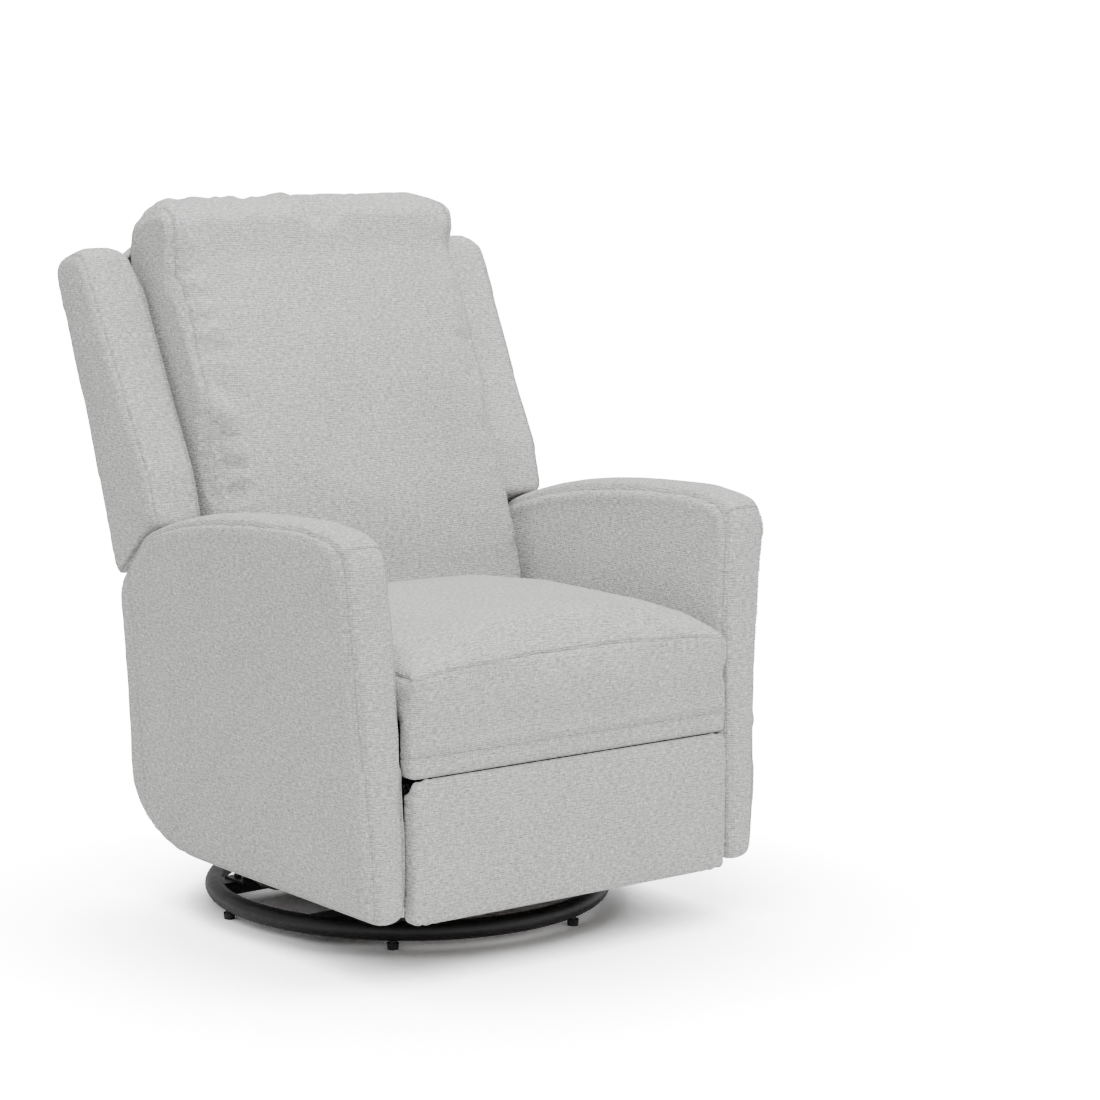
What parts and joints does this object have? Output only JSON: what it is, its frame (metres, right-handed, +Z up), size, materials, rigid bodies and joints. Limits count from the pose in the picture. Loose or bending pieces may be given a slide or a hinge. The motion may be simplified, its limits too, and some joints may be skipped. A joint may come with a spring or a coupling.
{
  "type": "swivel glider recliner chair",
  "caption": "Upholstered swivel glider recliner with flared arms, winged back and folding footrest on a round steel base.",
  "frame": {"origin": "centre of the chair's box on the floor, on the swivel axis", "axes": "+Z up, -Y is the way the chair faces, +X is the sitter's left"},
  "size_m": [0.78, 0.8222, 1.0819],
  "materials": {
    "black_steel": "satin black powder coat",
    "zinc_steel": "zinc plated steel",
    "spring_steel": "drawn spring steel",
    "glide_plastic": "matte black moulded plastic",
    "nylon": "natural nylon",
    "timber": "raw sawn hardwood and plywood",
    "upholstery": "light grey heathered woven cloth over foam"
  },
  "bodies": {
    "base": {"base_ring": "black_steel", "floor_glides": "glide_plastic", "base_cross_rails": "black_steel", "swivel_lower_plate": "black_steel", "swivel_balls": "spring_steel", "swivel_bolt": "zinc_steel", "cable_bracket": "black_steel", "lock_cable": "glide_plastic"},
    "swivel": {"swivel_upper_plate": "black_steel", "glider_frame_left": "black_steel", "glider_frame_right": "black_steel", "glider_cross_tubes": "black_steel"},
    "glide_front": {"hangers_front": "zinc_steel"},
    "glide_rear": {"hangers_rear": "zinc_steel"},
    "chassis": {"chassis_plate_left": "black_steel", "chassis_plate_right": "black_steel", "front_stretcher": "timber", "rear_stretcher": "timber", "slide_track_left": "zinc_steel", "slide_track_right": "zinc_steel", "arm_frame_left": "timber", "arm_frame_right": "timber", "arm_pad_left": "upholstery", "arm_pad_right": "upholstery", "lower_back_panel": "upholstery", "handle_pivot": "zinc_steel"},
    "seat": {"mechanism_plate_left": "zinc_steel", "mechanism_plate_right": "zinc_steel", "slide_blocks": "nylon", "seat_rail_left": "timber", "seat_rail_right": "timber", "seat_rail_front": "timber", "seat_rail_rear": "timber", "seat_springs": "spring_steel", "seat_cushion": "upholstery", "seat_front_band": "upholstery"},
    "back": {"back_bracket_left": "zinc_steel", "back_bracket_right": "zinc_steel", "back_post_left": "timber", "back_post_right": "timber", "back_rail_top": "timber", "back_rail_bottom": "timber", "back_springs": "spring_steel", "back_cushion": "upholstery", "wing_left": "upholstery", "wing_right": "upholstery", "outside_back": "upholstery"},
    "inner_link": {"drive_shaft": "zinc_steel", "inner_links": "zinc_steel"},
    "cross_link": {"cross_links": "zinc_steel"},
    "outer_cross_link": {"outer_cross_links": "zinc_steel"},
    "outer_link": {"outer_links": "zinc_steel"},
    "half_link": {"half_links": "zinc_steel"},
    "footrest": {"footrest_brackets": "zinc_steel", "footrest_board": "timber", "footrest_pad": "upholstery"},
    "handle": {"release_handle": "glide_plastic"}
  },
  "joints": [
    {"name": "swivel_turn", "type": "hinge", "parent": "base", "child": "swivel", "pos_m": [0, 0, 0.06], "axis": [0, 0, 1], "continuous": true},
    {"name": "glide_swing", "type": "hinge", "parent": "swivel", "child": "glide_front", "pos_m": [0, -0.17, 0.228], "axis": [1, 0, 0], "range_deg": [-24, 24]},
    {"name": "glide_level", "type": "hinge", "parent": "glide_front", "child": "chassis", "pos_m": [0, -0.17, 0.106], "axis": [1, 0, 0], "range_deg": [-24, 24]},
    {"name": "glide_rear_swing", "type": "hinge", "parent": "swivel", "child": "glide_rear", "pos_m": [0, 0.17, 0.228], "axis": [1, 0, 0], "range_deg": [-24, 24]},
    {"name": "seat_slide", "type": "slide", "parent": "chassis", "child": "seat", "axis": [0, -1, 0], "range_m": [0, 0.031]},
    {"name": "back_recline", "type": "hinge", "parent": "seat", "child": "back", "pos_m": [0, 0.171, 0.332], "axis": [-1, 0, 0], "range_deg": [0, 35]},
    {"name": "footrest_drive", "type": "hinge", "parent": "seat", "child": "inner_link", "pos_m": [0, -0.272, 0.268], "axis": [-1, 0, 0], "range_deg": [0, 74]},
    {"name": "cross_link_turn", "type": "hinge", "parent": "inner_link", "child": "cross_link", "pos_m": [0, -0.29653, 0.18245], "axis": [-1, 0, 0], "range_deg": [-149, 0]},
    {"name": "outer_cross_turn", "type": "hinge", "parent": "inner_link", "child": "outer_cross_link", "pos_m": [0, -0.32106, 0.09689], "axis": [-1, 0, 0], "range_deg": [-149, 0]},
    {"name": "outer_link_turn", "type": "hinge", "parent": "outer_cross_link", "child": "outer_link", "pos_m": [0, -0.32106, 0.1859], "axis": [-1, 0, 0], "range_deg": [0, 149]},
    {"name": "half_link_turn", "type": "hinge", "parent": "outer_link", "child": "half_link", "pos_m": [0, -0.34559, 0.10034], "axis": [-1, 0, 0], "range_deg": [-149, 0]},
    {"name": "footrest_turn", "type": "hinge", "parent": "outer_cross_link", "child": "footrest", "pos_m": [0, -0.32106, 0.2749], "axis": [-1, 0, 0], "range_deg": [0, 149]},
    {"name": "handle_pull", "type": "hinge", "parent": "chassis", "child": "handle", "pos_m": [-0.284, -0.06, 0.4], "axis": [-1, 0, 0], "range_deg": [0, 25], "stiffness_Nm_per_rad": 0.6}
  ],
  "couplings": [
    {"joint": "glide_level", "follows": "glide_swing", "ratio": -1},
    {"joint": "glide_rear_swing", "follows": "glide_swing", "ratio": 1},
    {"joint": "seat_slide", "follows": "back_recline", "m_per_rad": 0.049111},
    {"joint": "cross_link_turn", "follows": "footrest_drive", "ratio": -2},
    {"joint": "outer_cross_turn", "follows": "footrest_drive", "ratio": -2},
    {"joint": "outer_link_turn", "follows": "footrest_drive", "ratio": 2},
    {"joint": "half_link_turn", "follows": "footrest_drive", "ratio": -2},
    {"joint": "footrest_turn", "follows": "footrest_drive", "ratio": 2}
  ]
}
